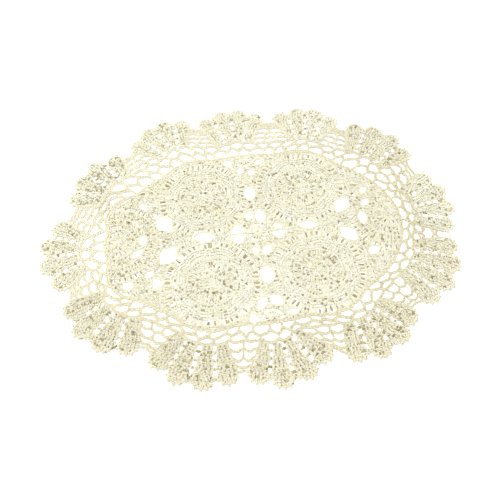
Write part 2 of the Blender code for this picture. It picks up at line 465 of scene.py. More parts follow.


# Crochet cotton: cream on top, with olive painted shade low on each stitch and over the yarn behind,
# where the hollows of the work lie
cotton = {
    "light": (0.96, 0.945, 0.79, 1),
    "dark": (0.91, 0.88, 0.66, 1),
    "tanAndShade": (0.85, 0.79, 0.57, 1),
    "paintedShade": (0.31, 0.25, 0.08, 1),
    "paintedShadePale": (0.78, 0.71, 0.43, 1),
    "shadeFullBelow": 0.15,  # how far up a stitch the painted shade colour is full, and where it ends
    "shadeEndsAbove": 0.64,
    "shadeRisePerTan": 0.2,
    "roughness": 0.88,
    "sheen": 0.25,
    "specular": 0.25,
    "patchScale": 28,  # of the patches that its tone drifts over
    "patchDetail": 3,
    "stitchTone": 0.6,  # how much the tone changes from stitch to stitch beside that
    "toneFrom": 0.45,
    "toneTo": 1.15,
    "plyHeight": 0.12,  # mm
    "plyScale": 1.1,
    "plyDistortion": 0.6,
    "fibreHeight": 0.05,
    "fibreScale": 2600,
    "fibreDetail": 2,
}


def cottonMaterial():
    material = bpy.data.materials.new("ecruCotton")
    material.use_nodes = True
    tree = material.node_tree
    add = nodeMaker(tree)

    def attribute(name):
        return add("ShaderNodeAttribute", attribute_name=name).outputs["Fac"]

    def mixed(a, b, factor):
        inputs = {"A": a, "B": b, "Factor": factor}
        return add("ShaderNodeMix", inputs, data_type="RGBA").outputs["Result"]

    coords = add("ShaderNodeTexCoord").outputs
    shade = attribute("shade")
    warmth = attribute("warmth")
    inputs = {"Vector": coords["Object"], "Scale": cotton["patchScale"], "Detail": cotton["patchDetail"]}
    patches = add("ShaderNodeTexNoise", inputs)
    inputs = {0: shade, 1: cotton["stitchTone"], 2: patches.outputs["Fac"]}
    both = add("ShaderNodeMath", inputs, operation="MULTIPLY_ADD")
    inputs = {"Value": both.outputs[0], "From Min": cotton["toneFrom"], "From Max": cotton["toneTo"]}
    tone = add("ShaderNodeMapRange", inputs)
    body = mixed(cotton["light"], cotton["dark"], tone.outputs["Result"])
    tannedShaded = mixed(body, cotton["tanAndShade"], warmth)

    # the painted shade reaches higher up a stitch, the more tan and shade the stitch is given
    inputs = {0: warmth, 1: cotton["shadeRisePerTan"], 2: cotton["shadeEndsAbove"]}
    above = add("ShaderNodeMath", inputs, operation="MULTIPLY_ADD")
    inputs = {"Value": attribute("rise"), "From Min": cotton["shadeFullBelow"], "From Max": above.outputs[0]}
    depth = add("ShaderNodeMapRange", inputs, interpolation_type="SMOOTHSTEP")
    # painted shade: olive, darker or paler from stitch to stitch at random
    low = mixed(cotton["paintedShade"], cotton["paintedShadePale"], shade)
    colour = mixed(low, tannedShaded, depth.outputs["Result"])

    # the twist of the plies slants round each strand, and the fibres stand off it
    inputs = {"Vector": coords["UV"], "Scale": cotton["plyScale"], "Distortion": cotton["plyDistortion"]}
    ply = add("ShaderNodeTexWave", inputs, wave_type="BANDS", bands_direction="DIAGONAL")
    inputs = {"Vector": coords["Object"], "Scale": cotton["fibreScale"], "Detail": cotton["fibreDetail"]}
    fibres = add("ShaderNodeTexNoise", inputs)
    inputs = {"Distance": cotton["fibreHeight"] * mm, "Height": fibres.outputs["Fac"]}
    fine = add("ShaderNodeBump", inputs).outputs["Normal"]
    inputs = {"Distance": cotton["plyHeight"] * mm, "Height": ply.outputs["Fac"], "Normal": fine}
    coarse = add("ShaderNodeBump", inputs)
    shader = tree.nodes["Principled BSDF"]
    for name, value in (
        ("Base Color", colour),
        ("Roughness", cotton["roughness"]),
        ("Sheen Weight", cotton["sheen"]),
        ("Specular IOR Level", cotton["specular"]),
        ("Normal", coarse.outputs["Normal"]),
    ):
        give(tree, shader.inputs[name], value)
    return material


# Where the ground starts: an ellipse round the motifs, pushed out where a motif reaches past it
motifEdge = {"x": -2.5, "y": 1.0, "a": 133.5, "b": 90.5}
motifColumns = ("name", "x", "y", "turn", "size")
roundMotifs = rows(
    motifColumns,
    (
        ("rosetteUpperLeft", -45.7, 45.1, 3, 46.0),
        ("rosetteUpperRight", 46.3, 46.6, -2, 45.0),
        ("rosetteLowerRight", 46.0, -45.9, 4, 42.5),
        ("rosetteLowerLeft", -46.4, -46.0, 0, 44.5),
    ),
)
halfMotifs = rows(
    motifColumns,
    (
        ("halfMotifLeft", -126.6, 4.6, 0, 40.0),
        ("halfMotifRight", 124.0, 5.9, 180, 40.0),
    ),
)
corners = rows(("x", "y", "size"), ((-108.0, -25.0, 28.0), (-108.0, 28.0, 28.0)))


def clearOfMotifs(point):
    for motif in roundMotifs + corners:
        dx = point[0] - motif["x"]
        dy = point[1] - motif["y"]
        away = math.hypot(dx, dy)
        if away < motif["size"]:
            point = motif["x"] + dx * motif["size"] / away, motif["y"] + dy * motif["size"] / away
    return point


# The place on the edge of the motifs that lies inward of a point
def motifEdgeBelow(point):
    dx = (point[0] - motifEdge["x"]) / motifEdge["a"]
    dy = (point[1] - motifEdge["y"]) / motifEdge["b"]
    away = math.hypot(dx, dy)
    x = motifEdge["x"] + motifEdge["a"] * dx / away
    y = motifEdge["y"] + motifEdge["b"] * dy / away
    return clearOfMotifs((x, y))


# Whether a place is inside the edge where the ground starts
def withinMotifs(point, margin=0.0):
    edge = motifEdgeBelow(point)
    reach = math.dist(edge, (motifEdge["x"], motifEdge["y"]))
    return math.dist(point, (motifEdge["x"], motifEdge["y"])) < reach - margin


# Gaps between the motifs, as in the solid
gapColumns = ("form", "x", "y", "length", "width", "turn")
gaps = rows(
    gapColumns,
    (
        ("lens", -48.8, 1.6, 19, 9, -4),
        ("lens", 46.1, 3.0, 17, 7, -6),
        ("lens", -1.9, 45.8, 16, 9, 88),
        ("lens", 1.3, -44.1, 17, 11, 92),
        ("diamond", -83.8, 21.0, 18, 12, -58),
        ("diamond", -82.3, -13.4, 18, 13, 52),
        ("diamond", 80.9, 21.2, 17, 11, 52),
        ("diamond", 80.9, -11.3, 17, 11, -52),
        ("triangle", -18.4, 6.9, 16, 8, 0),
        ("triangle", -18.4, -4.6, 17, 9, 180),
        ("triangle", 18.4, 5.4, 11, 6, 0),
        ("triangle", 18.0, -3.6, 15, 8, 180),
        ("diamond", 3.8, 18.4, 14, 7, 86),
        ("diamond", -6.2, 20.2, 9, 5, 75),
        ("diamond", 5.2, -18.8, 9, 6, 60),
        ("diamond", -6.8, -70.4, 12, 6, 56),
        ("diamond", 5.6, -69.4, 12, 8, -48),
        ("triangle", -16.2, -83.2, 10, 8, 20),
        ("lens", 18.0, -82.0, 8, 4.2, 10),
        ("diamond", -18.4, 84.6, 7, 6, 30),
        ("diamond", 11.6, 82.4, 7, 5, 10),
        ("diamond", -7.6, 73.6, 6, 4.4, 80),
        ("lens", -103.6, 5.6, 11, 5.6, 84),
        ("lens", -109.4, -7.8, 12, 4.6, 42),
        ("lens", -99.6, -30.6, 8, 4.6, 45),
        ("triangle", -94.4, -38.4, 10, 8, 30),
        ("lens", -101.6, 42.4, 8, 4.6, -60),
        ("lens", 97.0, 4.6, 13, 6, 90),
        ("lens", 103.4, 21.4, 9, 4.4, 52),
        ("diamond", 99.0, -31.4, 9, 6, 20),
        ("diamond", -118.4, -39.6, 8, 6, -40),
        ("diamond", -5.0, -17.6, 6, 4.2, -70),
        ("diamond", 2.8, 70.6, 6, 4.2, 80),
        ("lens", 104.8, 35.6, 7, 4.2, 60),
    ),
)


# A gap's outline, grown by so many millimetres. A diamond's points are cut off by a share of its size
def gapOutline(gap, grown):
    half, rise = gap["length"] / 2 + grown, gap["width"] / 2 + grown
    if gap["form"] == "triangle":
        points = [(-half, -rise), (half, -rise), (0.12 * half, 0.9 * rise), (-0.12 * half, 0.9 * rise)]
    elif gap["form"] == "diamond":
        points, spread = [], 0.2
        for x, y in ((-1, 0), (0, -1), (1, 0), (0, 1)):
            points.append((half * (x + y * spread), rise * (y - x * spread)))
            points.append((half * (x - y * spread), rise * (y + x * spread)))
    else:
        shares = (-1, -0.6, 0, 0.6)
        lower = [(half * s, -rise * (1 - s * s)) for s in shares]
        points = lower + [(-x, -y) for x, y in lower]
    dx, dy = direction(gap["turn"])
    return [(gap["x"] + x * dx - y * dy, gap["y"] + x * dy + y * dx) for x, y in points]


gapHem = 1.5  # from a gap of the solid to the middle of the line of links round it
gapEdges = [gapOutline(gap, gapHem) for gap in gaps]


def inGap(point):
    return any(inside(point, edge) for edge in gapEdges)


# The motif whose rounds a place between the motifs belongs to
def ownerOf(point):
    return min(
        roundMotifs + halfMotifs,
        key=lambda motif: math.dist(point, (motif["x"], motif["y"])) - motif["size"],
    )


stars = rows(
    ("x", "y", "size", "legs"),
    ((-0.5, 0.5, 8.6, 18), (-2.6, 87.0, 8.0, 16), (0.2, -86.0, 8.6, 16)),
)
starMiddle = {"turn": 72, "inner": 0.4, "outer": 2.6, "knot": 2.2, "raised": 0.9}  # a ring of knots
starLeg = {"foot": 1.6, "width": 2.2, "height": 1.9, "raised": 0.6, "behind": 2.4}


starClear = 0.5  # mm of a motif's work to a star, and to the edge where the ground starts
edgeClear = 0.6
shortestStitch = 1.1
trimSteps = 10


# Whether a place is a motif's own ground, clear of the gaps and the stars
def keeps(motif, point):
    if any(math.dist(point, (star["x"], star["y"])) < star["size"] + starClear for star in stars):
        return False
    return withinMotifs(point, edgeClear) and ownerOf(point) is motif and not inGap(point)


# The longest stretch of a stitch that lies on its motif's own ground, or None
def trimmed(motif, start, end):
    best, run = [], []
    for step in range(trimSteps + 1):
        point = between(start, end, step / trimSteps)
        if keeps(motif, point):
            run.append(point)
        else:
            run = []
        if len(run) > len(best):
            best = run
    if len(best) > 1 and math.dist(best[0], best[-1]) > shortestStitch:
        return best[0], best[-1]
    return None


# Rounds of stitches about a motif's middle: where each starts and ends, how many stitches it has,
# how wide they are, the share of the slits between them that show the yarn behind, and the share
# of stitches left out
roundColumns = ("inner", "outer", "count", "width", "backs", "missed")
rosette = {
    "rounds": rows(
        roundColumns,
        (
            (2.2, 5.2, 9, 3.2, 0.5, 0.0),
            (5.4, 8.3, 18, 3.1, 0.9, 0.2),
            (8.6, 11.5, 25, 3.0, 0.9, 0.26),
            (11.8, 14.6, 36, 3.0, 0.9, 0.2),
            (14.9, 18.0, 43, 3.0, 0.9, 0.26),
            (18.3, 21.4, 52, 3.0, 0.9, 0.2),
        ),
    ),
    "chains": (2.0, 8.5, 21.8),
    "petals": 8,
    "petalFoot": 25.4,
    "petalFootRound": 2.2,  # how far a petal's corners lie inside the middle of its foot
    "footGap": 1.2,  # the gap along the petals' foot, made a dark line by the flat yarn behind in painted shade
    "petalRows": rows(
        ("inner", "outer", "count"),
        ((25.8, 28.5, 9), (28.7, 31.4, 10), (31.6, 34.2, 11), (34.4, 36.8, 12)),
    ),
    "petalRound": 2.6,
    "petalRaised": 0.45,
    "petalMissed": 0.09,
    "petalKnots": 0.5,
    "petalBacks": 0.6,
    "stray": 0.22,  # how far a stitch strays along its round, as a share of their pitch
    "petalBed": {"inner": 21.9, "count": 54, "width": 2.6, "backs": 1.0, "missed": 0.1, "behind": 2.8},
    "slots": {"outer": 41.0, "count": 50, "width": 3.3, "backs": 0.8, "missed": 0.04, "behind": 3.4},
    "lobeRows": ((41.9, 44.4), (44.6, 47.6)),
    "lobes": 8,
    "lobeDip": 4.6,  # how far the edge draws in between two lobes
    "lobeTurn": 22.5,
    "skirt": {"clear": 1.0, "count": 130, "width": 2.9},  # the round outside the lobes
    "pitch": 2.35,
    "width": 3.1,
}
halfMotif = {
    "rounds": rows(
        roundColumns,
        (
            (2.2, 5.2, 9, 3.2, 0.5, 0.0),
            (5.4, 8.4, 18, 3.1, 0.5, 0.05),
            (8.8, 12.6, 18, 2.8, 1.0, 0.05),
            (12.9, 15.8, 40, 3.0, 0.9, 0.12),
            (16.1, 19.2, 31, 2.8, 1.0, 0.05),
            (19.5, 22.4, 60, 3.0, 0.9, 0.12),
            (22.6, 25.6, 68, 3.0, 0.9, 0.1),
            (26.0, 29.0, 60, 2.8, 0.8, 0.12),
            (29.3, 32.3, 86, 3.0, 0.9, 0.12),
            (32.5, 35.5, 96, 3.0, 0.9, 0.1),
            (35.9, 39.4, 50, 3.3, 1.0, 0.06),
            (39.7, 42.7, 116, 3.0, 0.9, 0.12),
            (42.9, 45.9, 124, 3.0, 0.9, 0.12),
        ),
    ),
    "chains": (2.0, 8.6, 16.0, 25.8, 35.7),
    "behind": 1.8,
    "tanAndShade": 0.2,
}
lineWidth = 1.9  # of a line of links on a motif
# The flat yarn behind the stitches is coloured all in painted shade, as dark specks in the slits
behindWork = {"raised": -0.45, "missedWidth": 2.6}  # the flat yarn seen behind the stitches
unevenRounds = {"foot": (-0.8, 0.3), "reach": (-0.3, 0.8), "least": 0.6, "narrowSlit": 0.3}
filling = {"first": 46.2, "last": 68.0, "row": 3.1, "width": 3.0, "chainEvery": 2}


# Places round a motif, a step in degrees apart
def ringOf(motif, radius, step):
    count = round(360 / step)
    return [fromCentre((motif["x"], motif["y"]), 360 * k / count, radius) for k in range(count + 1)]


# A line of links, leaving out those that fall in a gap or on another motif
def keptChain(chart, motif, points, raised=0.35):
    run = []
    for point in points:
        if keeps(motif, point):
            run.append(point)
        else:
            if len(run) > 1:
                chart.chain(run, width=lineWidth, raised=raised)
            run = []
    if len(run) > 1:
        chart.chain(run, width=lineWidth, raised=raised)


# One round of stitches; inner and outer are radii, or functions of the turn
def workRound(chart, motif, inner, outer, count, width, backs=0.85, missed=0.1, behind=1.4):
    centre = (motif["x"], motif["y"])

    def stretchAt(turn):
        foot = inner(turn) if callable(inner) else inner
        reach = outer(turn) if callable(outer) else outer
        foot += chart.chance.uniform(*unevenRounds["foot"])
        reach += chart.chance.uniform(*unevenRounds["reach"])
        if reach < foot + unevenRounds["least"]:
            return None
        return trimmed(motif, fromCentre(centre, turn, foot), fromCentre(centre, turn, reach))

    shift = chart.chance.random()
    for k in range(count):
        stray = chart.chance.uniform(-1, 1) * rosette["stray"]
        stitch = stretchAt(motif["turn"] + 360 * (k + shift + stray) / count)
        # A missed stitch, and most slits, show the flat yarn behind in painted shade
        if stitch and chart.chance.random() < missed:
            chart.add("back", *stitch, behindWork["missedWidth"], raised=behindWork["raised"])
        elif stitch:
            chart.add(postFor(*stitch), *stitch, width)
        slit = stretchAt(motif["turn"] + 360 * (k + shift + 0.5) / count)
        if not slit:
            continue
        room = 2 * math.pi * math.dist(centre, between(*slit, 0.5)) / count - width
        if chart.chance.random() < backs:
            chart.add("back", *slit, behind, raised=behindWork["raised"])
        elif room > unevenRounds["narrowSlit"]:
            chart.add("stub", *slit, room + 1.0, None, -0.1)


# Where a turn lies across its petal, from -1 to 1
def petalShare(motif, turn):
    span = 360 / rosette["petals"]
    return ((turn - motif["turn"]) % span) / span * 2 - 1


# Eight raised petals, each of four curved rows, with a line of links along its foot; the dark line below
# it is painted shade
def petalWork(chart, motif):
    centre = (motif["x"], motif["y"])
    span = 360 / rosette["petals"]
    for petal in range(rosette["petals"]):
        middle = motif["turn"] + span * (petal + 0.5)
        foot = []
        for step in range(9):
            across = step / 4 - 1
            radius = rosette["petalFoot"] - rosette["petalFootRound"] * across**2
            foot.append(fromCentre(centre, middle + across * span / 2, radius))
        chart.chain(foot, raised=rosette["petalRaised"])
        for row in rosette["petalRows"]:
            for k in range(row["count"]):
                across = 2 * (k + 0.5) / row["count"] - 1
                turn = middle + across * span / 2
                drop = rosette["petalRound"] * across**2
                start = fromCentre(centre, turn, row["inner"] - drop)
                end = fromCentre(centre, turn, row["outer"] - drop)
                # A missed stitch, and some slits, show the flat yarn behind in painted shade
                if chart.chance.random() < rosette["petalMissed"]:
                    chart.add("back", start, end, behindWork["missedWidth"], raised=-0.2)
                elif chart.chance.random() < rosette["petalKnots"]:
                    chart.add("knot", start, end, 3.0, 2.2, rosette["petalRaised"])
                else:
                    chart.add("stub", start, end, rosette["width"], None, rosette["petalRaised"])
                if k and chart.chance.random() < rosette["petalBacks"]:
                    turn -= span / 2 / row["count"]
                    start = fromCentre(centre, turn, row["inner"] - drop)
                    end = fromCentre(centre, turn, row["outer"] - drop)
                    chart.add("back", start, end, 1.5, raised=-0.1)


# How far out a round motif reaches, at its lobes and between them
def lobeEdge(motif, turn):
    aside = math.radians(turn - motif["turn"] - rosette["lobeTurn"])
    wave = 0.5 + 0.5 * math.cos(rosette["lobes"] * aside)
    return rosette["lobeRows"][-1][1] - rosette["lobeDip"] * (1 - wave**0.6)


def roundMotif(motif):
    chart = Chart(motif["name"])
    for row in rosette["rounds"]:
        workRound(chart, motif, *(row[column] for column in roundColumns))
    for radius in rosette["chains"]:
        chart.chain(ringOf(motif, radius, 12.0)[:-1], closed=True, width=lineWidth, raised=0.35)

    def petalFoot(turn):
        drop = rosette["petalFootRound"] * petalShare(motif, turn) ** 2
        return rosette["petalFoot"] - drop - rosette["footGap"]

    def petalTip(turn):
        drop = rosette["petalRound"] * petalShare(motif, turn) ** 2
        return rosette["petalRows"][-1]["outer"] + 0.2 - drop

    def lobeTop(turn, outer):
        return min(outer, lobeEdge(motif, turn))

    stitchColumns = ("count", "width", "backs", "missed", "behind")
    bed, slots = rosette["petalBed"], rosette["slots"]
    workRound(chart, motif, bed["inner"], petalFoot, *(bed[column] for column in stitchColumns))
    petalWork(chart, motif)
    workRound(chart, motif, petalTip, slots["outer"], *(slots[column] for column in stitchColumns))
    keptChain(chart, motif, ringOf(motif, slots["outer"] + 0.4, 3.0), raised=-0.05)
    for inner, outer in rosette["lobeRows"]:
        count = round(2 * math.pi * inner / rosette["pitch"])
        workRound(chart, motif, inner, lambda turn: lobeTop(turn, outer), count, rosette["width"])
    skirt = rosette["skirt"]
    workRound(
        chart,
        motif,
        lambda turn: lobeEdge(motif, turn) + skirt["clear"],
        filling["first"] + 2,
        skirt["count"],
        skirt["width"],
    )
    edge = [fromCentre((motif["x"], motif["y"]), 3 * k, lobeEdge(motif, 3 * k) + 0.3) for k in range(121)]
    keptChain(chart, motif, edge, raised=0.2)
    fillCorners(chart, motif, filling["first"] + 2.2)
    gapWork(chart, motif)
    return chart


def halfMotifWork(motif):
    chart = Chart(motif["name"], tanAndShade=halfMotif["tanAndShade"])
    for row in halfMotif["rounds"]:
        workRound(chart, motif, *(row[column] for column in roundColumns), halfMotif["behind"])
    for radius in halfMotif["chains"]:
        keptChain(chart, motif, ringOf(motif, radius, 4.0))
    fillCorners(chart, motif, filling["first"])
    gapWork(chart, motif)
    return chart


# Rows that fill the corners between the motifs, up to the ground and the gaps
def fillCorners(chart, motif, first):
    radius, number = first, 0
    while radius < filling["last"]:
        count = round(2 * math.pi * radius / rosette["pitch"])
        workRound(chart, motif, radius, radius + filling["row"] - 0.2, count, filling["width"])
        radius += filling["row"]
        number += 1
        if number % filling["chainEvery"] == 0:
            keptChain(chart, motif, ringOf(motif, radius, 2.5), raised=0.2)


# A line of links round each gap near a motif, and the stars beside it
def gapWork(chart, motif):
    for gap in gaps:
        if ownerOf((gap["x"], gap["y"])) is motif:
            chart.chain(gapOutline(gap, gapHem + 0.2), closed=True, raised=0.1, pitch=2.8)
    for star in stars:
        if ownerOf((star["x"], star["y"])) is motif:
            starWork(chart, star)


# A small star of long posts in the space between the motifs
def starWork(chart, star):
    centre = star["x"], star["y"]
    for turn in range(0, 360, starMiddle["turn"]):
        knot = [fromCentre(centre, turn, starMiddle[end]) for end in ("inner", "outer")]
        chart.add("knot", *knot, starMiddle["knot"], starMiddle["knot"], starMiddle["raised"])
    for leg in range(star["legs"]):
        turn = 360 * (leg + 0.4) / star["legs"]
        start = fromCentre(centre, turn, starLeg["foot"])
        end = fromCentre(centre, turn, star["size"])
        places = [between(start, end, share) for share in (0.3, 0.6, 0.85)]
        if all(withinMotifs(place) and not inGap(place) for place in places):
            chart.add("post", start, end, starLeg["width"], starLeg["height"], starLeg["raised"])
            beside = turn + 180 / star["legs"]
            near = fromCentre(centre, beside, starMiddle["outer"])
            slit = near, fromCentre(centre, beside, 0.8 * star["size"])
            # Beside each leg lies flat yarn in painted shade
            if not inGap(slit[1]):
                chart.add("back", *slit, starLeg["behind"], raised=-0.2)


# Twelve fans, clockwise from the top left. x and y are the middle of a fan's foot, root the
# distance from its centre to the foot, ruffle how high its edge stands, fill how far the net
# fills the notch after it, then how tan its cotton is and how far up its stitches the painted shade
# reaches, width how wide its stitches are, backs the share of the slits between them that show the
# yarn behind, missed the share of stitches left out
fans = rows(
    ("x", "y", "aim", "root", "reach", "spread", "ruffle", "fill", "tanAndShade", "width", "backs", "missed"),
    (
        (-71, 109, 117, 26, 39.0, 17.9, 1.2, 2.5, -1.5, 3.3, 0.95, 0.1),
        (-8, 112, 92, 36, 43.0, 14.4, 0.8, 3.0, -1.4, 3.3, 0.95, 0.1),
        (61, 107, 76, 26, 42.0, 17.2, 1.0, 3.0, -0.8, 3.3, 0.95, 0.1),
        (117, 75, 46, 38, 41.0, 15.8, 2.8, 6.0, 0.35, 3.25, 1.0, 0.1),
        (146, 11, 6, 38, 38.0, 16.2, 1.2, 0.0, 0.0, 3.3, 1.0, 0.1),
        (130, -46, -33, 38, 41.5, 16.1, 1.2, 6.5, 0.35, 3.25, 1.0, 0.1),
        (77, -94, -62, 38, 38.3, 16.8, 3.0, 6.5, 0.55, 3.25, 1.0, 0.1),
        (4, -107, -79, 26, 39.5, 19.9, 1.6, 6.5, 0.55, 3.25, 1.0, 0.1),
        (-62, -101, -111, 38, 38.5, 17.0, 1.4, 6.5, 0.55, 3.25, 1.0, 0.1),
        (-130, -62, -131, 38, 37.0, 18.4, 1.8, 5.5, 0.4, 3.25, 1.0, 0.12),
        (-160, 0, -178, 26, 35.5, 22.7, 1.0, 6.0, -0.4, 3.35, 1.0, 0.1),
        (-132, 70, -220, 38, 33.5, 17.8, 2.8, 6.0, -0.5, 3.3, 0.9, 0.18),
    ),
)
fanWork = {
    "ribs": 4,
    "sideRibs": (-0.45, 3.45),
    "shorterOuterRibs": 3.0,
    "holeRows": (0.07, 0.25, 0.43, 0.61),  # where the holes between ribs lie, as shares of the reach
    "holeLength": 4.0,
    "holeWidth": 2.1,
    "row": 2.9,
    "pitch": 2.95,
    "rowShift": (0.15, 0.85),  # where a row's first stitch lies, in pitches
    "missedWidth": 3.4,
    "behind": 2.6,
    "lean": 0.45,  # how far each end of a stitch may stray, as a share of their pitch
    "scallopRadius": 8.2,
    "dip": 5.0,  # between two scallops
    "rimTurns": range(-85, 86, 17),
    "picotTurns": (-66, -33, 0, 33, 66),
    "picotHeight": 1.9,
    "picotReach": 3.0,
    "picotInside": 0.8,
    "picotWidth": 3.0,
    "notchDepth": 16.5,
    "notchRim": 2.2,
}


# Polar places about the centre that a fan's ribs run to
class Fan:
    def __init__(self, number, row):
        self.number = number
        self.row = row
        self.centre = fromCentre((row["x"], row["y"]), row["aim"] + 180, row["root"])

    def ribTurn(self, rib):
        return self.row["aim"] - (rib - (fanWork["ribs"] - 1) / 2) * self.row["spread"]

    def at(self, rib, beyondFoot):
        return fromCentre(self.centre, self.ribTurn(rib), self.row["root"] + beyondFoot)

    def tip(self, rib):
        shorter = fanWork["shorterOuterRibs"] if rib in (0, fanWork["ribs"] - 1) else 0
        return self.row["reach"] - shorter

    def notch(self):
        return self.tip(0) - fanWork["notchDepth"]

    def scallopMiddle(self, rib):
        return self.tip(rib) - fanWork["scallopRadius"] - fanWork["picotHeight"] / 2

    # How far beyond the foot the work reaches, at a rib or a place between two
    def edge(self, rib):
        last = fanWork["ribs"] - 1
        nearest = min(last, max(0, round(rib)))
        aside = math.radians((rib - nearest) * self.row["spread"])
        away = self.row["root"] + self.scallopMiddle(nearest)
        across = away * math.sin(aside)
        rim = away * math.cos(aside) - self.row["root"]
        if abs(across) < fanWork["scallopRadius"]:
            rim += math.sqrt(fanWork["scallopRadius"] ** 2 - across**2)
        if 0 < rib < last:
            other = min(last, max(0, nearest + (1 if rib > nearest else -1)))
            rim = max(rim, min(self.tip(nearest), self.tip(other)) - fanWork["dip"] - 0.5)
        return rim

    # The fan lies in soft ripples that grow towards its edge
    def lift(self, point):
        dx, dy = point[0] - self.centre[0], point[1] - self.centre[1]
        beyond = math.hypot(dx, dy) - self.row["root"]
        share = min(1.0, max(0.0, beyond / self.row["reach"]))
        turn = (math.degrees(math.atan2(dy, dx)) - self.row["aim"] + 180) % 360 - 180
        ripple = 0.5 + 0.5 * math.cos(math.radians(turn / self.row["spread"] * 180 + 40 * self.number))
        fade = max(0.0, math.cos(math.radians(90 * turn / (2.1 * self.row["spread"]))))
        return layHeight(point) + self.row["ruffle"] * ripple * fade * share**1.5


fanShapes = [Fan(number, row) for number, row in enumerate(fans)]


# Where each row of a fan starts and ends beyond its foot, and whether the holes cross it
def fanRows(fan):
    found = []
    done = 0.3
    for share in fanWork["holeRows"]:
        low = share * fan.row["reach"] - fanWork["holeLength"] / 2
        middle, high = low + fanWork["holeLength"] / 2, low + fanWork["holeLength"]
        if low > done + 0.6:
            found.append((done, low, False))
        found += [(low, middle, True), (middle, high, True)]
        done = high
    while done < fan.row["reach"] - 1:
        found.append((done, done + fanWork["row"], False))
        done += fanWork["row"]
    return found


# A row of stitches across a fan, up to its scalloped edge
def fanRow(chart, fan, start, end, holed):
    first, last = fanWork["sideRibs"]
    ribSpan = math.radians(fan.row["spread"]) * (fan.row["root"] + (start + end) / 2)
    halfHole = fanWork["holeWidth"] / 2 / ribSpan
    breaks = [rib + 0.5 for rib in range(fanWork["ribs"] - 1)] if holed else []
    lefts = [first] + [place + halfHole for place in breaks]
    rights = [place - halfHole for place in breaks] + [last]
    for left, right in zip(lefts, rights):
        count = max(2, round((right - left) * ribSpan / fanWork["pitch"]))
        step = (right - left) / count
        shift = chart.chance.uniform(*fanWork["rowShift"])
        for k in range(count):
            place = left + (k + shift) * step
            lean = chart.chance.uniform(-1, 1) * fanWork["lean"] * step
            top = min(end, fan.edge(place))
            if top < start + 0.9:
                continue
            stretch = fan.at(place - lean, start), fan.at(place + lean, top)
            # A missed stitch, and most slits, show the flat yarn behind in painted shade
            if chart.chance.random() < fan.row["missed"]:
                chart.add("back", *stretch, fanWork["missedWidth"], raised=behindWork["raised"])
            else:
                chart.add("stub", *stretch, fan.row["width"])
            if k and chart.chance.random() < fan.row["backs"]:
                slit = left + (k + shift - 0.5) * step
                ends = fan.at(slit, start), fan.at(slit, top)
                chart.add("back", *ends, fanWork["behind"], raised=behindWork["raised"])


# Rows of stitches with four lines of holes, a scallop on each rib, and the net beside them
def fanChart(fan, following):
    chart = Chart(f"fan{fan.number + 1:02d}", fan.lift, fan.row["tanAndShade"])
    for start, end, holed in fanRows(fan):
        fanRow(chart, fan, start, end, holed)
    for rib in range(fanWork["ribs"]):
        scallop(chart, fan, rib)
    chart.netTanAndShadeOf = netTanAndShade
    for side in fanWork["sideRibs"]:
        line = fan.at(side, sideLine["foot"]), fan.at(side, fan.scallopMiddle(0))
        chart.chain(line, width=sideLine["width"], raised=sideLine["raised"])
    wedge(chart, fan, following)
    return chart


sideLine = {"foot": 0.5, "width": 2.3, "raised": 0.35}
rimKnot = {"inside": 1.7, "outside": 0.4, "width": 2.5, "height": 2.0, "raised": 0.3}


# The bumpy rim at the end of a rib, and its picots
def scallop(chart, fan, rib):
    radius = fanWork["scallopRadius"]
    centre = fan.at(rib, fan.scallopMiddle(rib))
    outward = fan.ribTurn(rib)
    for turn in fanWork["rimTurns"]:
        low = fromCentre(centre, outward + turn, radius - rimKnot["inside"])
        high = fromCentre(centre, outward + turn, radius + rimKnot["outside"])
        chart.add("knot", low, high, rimKnot["width"], rimKnot["height"], rimKnot["raised"])
    for turn in fanWork["picotTurns"]:
        low = fromCentre(centre, outward + turn, radius - fanWork["picotInside"])
        high = fromCentre(centre, outward + turn, radius + fanWork["picotReach"])
        chart.add("picot", low, high, fanWork["picotWidth"])


ground = {
    "roundEnds": (0.0, 0.54, 1.0),  # shares of the way from the motifs to the fans
    "loops": 62,
    "stepsAtFoot": 6,
    "pull": 0.36,  # how far a joint pulls a chain out of line, as a share of the round
    "chainWidth": 4.3,
    "linkPitch": 2.5,
    "stalkWidth": 2.9,  # of the links that join two rounds
    "footPull": (0.06, 0.03),  # outward and inward, of the first line
    "joint": (-0.04, 0.08),  # where a joint's knot starts and ends, from the top of its stalk
    "jointWidth": 2.5,
    "edgingWidth": 2.7,
    "knotHeight": 2.0,
    "tanAndShade": 1.0,
    "wedgeChain": 3.6,
    "wedgePitch": 2.6,
    "edgingAcrossLoop": 3,  # knots along the motifs' edge to a loop
    "edgingReach": 0.15,
    "drawnTanAndShade": 1.7,
    "drawnWidth": 2.2,
    "drawnPitch": 2.6,
    "strayAlong": 0.14,  # how unevenly the loops lie, in loops
    "strayOut": 0.05,
    "edgeRow": 2.4,  # of the rows that fill the notch between two fans
    "wedgeWidth": 10.0,
    "wedgeDepth": 6.8,
}


def footLine():
    first, last = fanWork["sideRibs"]
    line = []
    for fan in fanShapes:
        for step in range(ground["stepsAtFoot"] + 1):
            line.append(fan.at(first + (last - first) * step / ground["stepsAtFoot"], 0))
    return line + line[:1]


feet = footLine()
feetLengths = [math.dist(a, b) for a, b in zip(feet, feet[1:])]


# A place in the ground, share 0 at the motifs to 1 at the feet of the fans
def groundPlace(loop, share):
    loose = max(0.0, 4 * share * (1 - share))
    loop += ground["strayAlong"] * loose * math.sin(2.3 * loop + 4 * share)
    share += ground["strayOut"] * loose * math.sin(1.7 * loop)
    left = loop / ground["loops"] % 1 * sum(feetLengths)
    outer = feet[0]
    for start, end, length in zip(feet, feet[1:], feetLengths):
        if left <= length:
            outer = between(start, end, left / length)
            break
        left -= length
    return between(motifEdgeBelow(outer), outer, share)


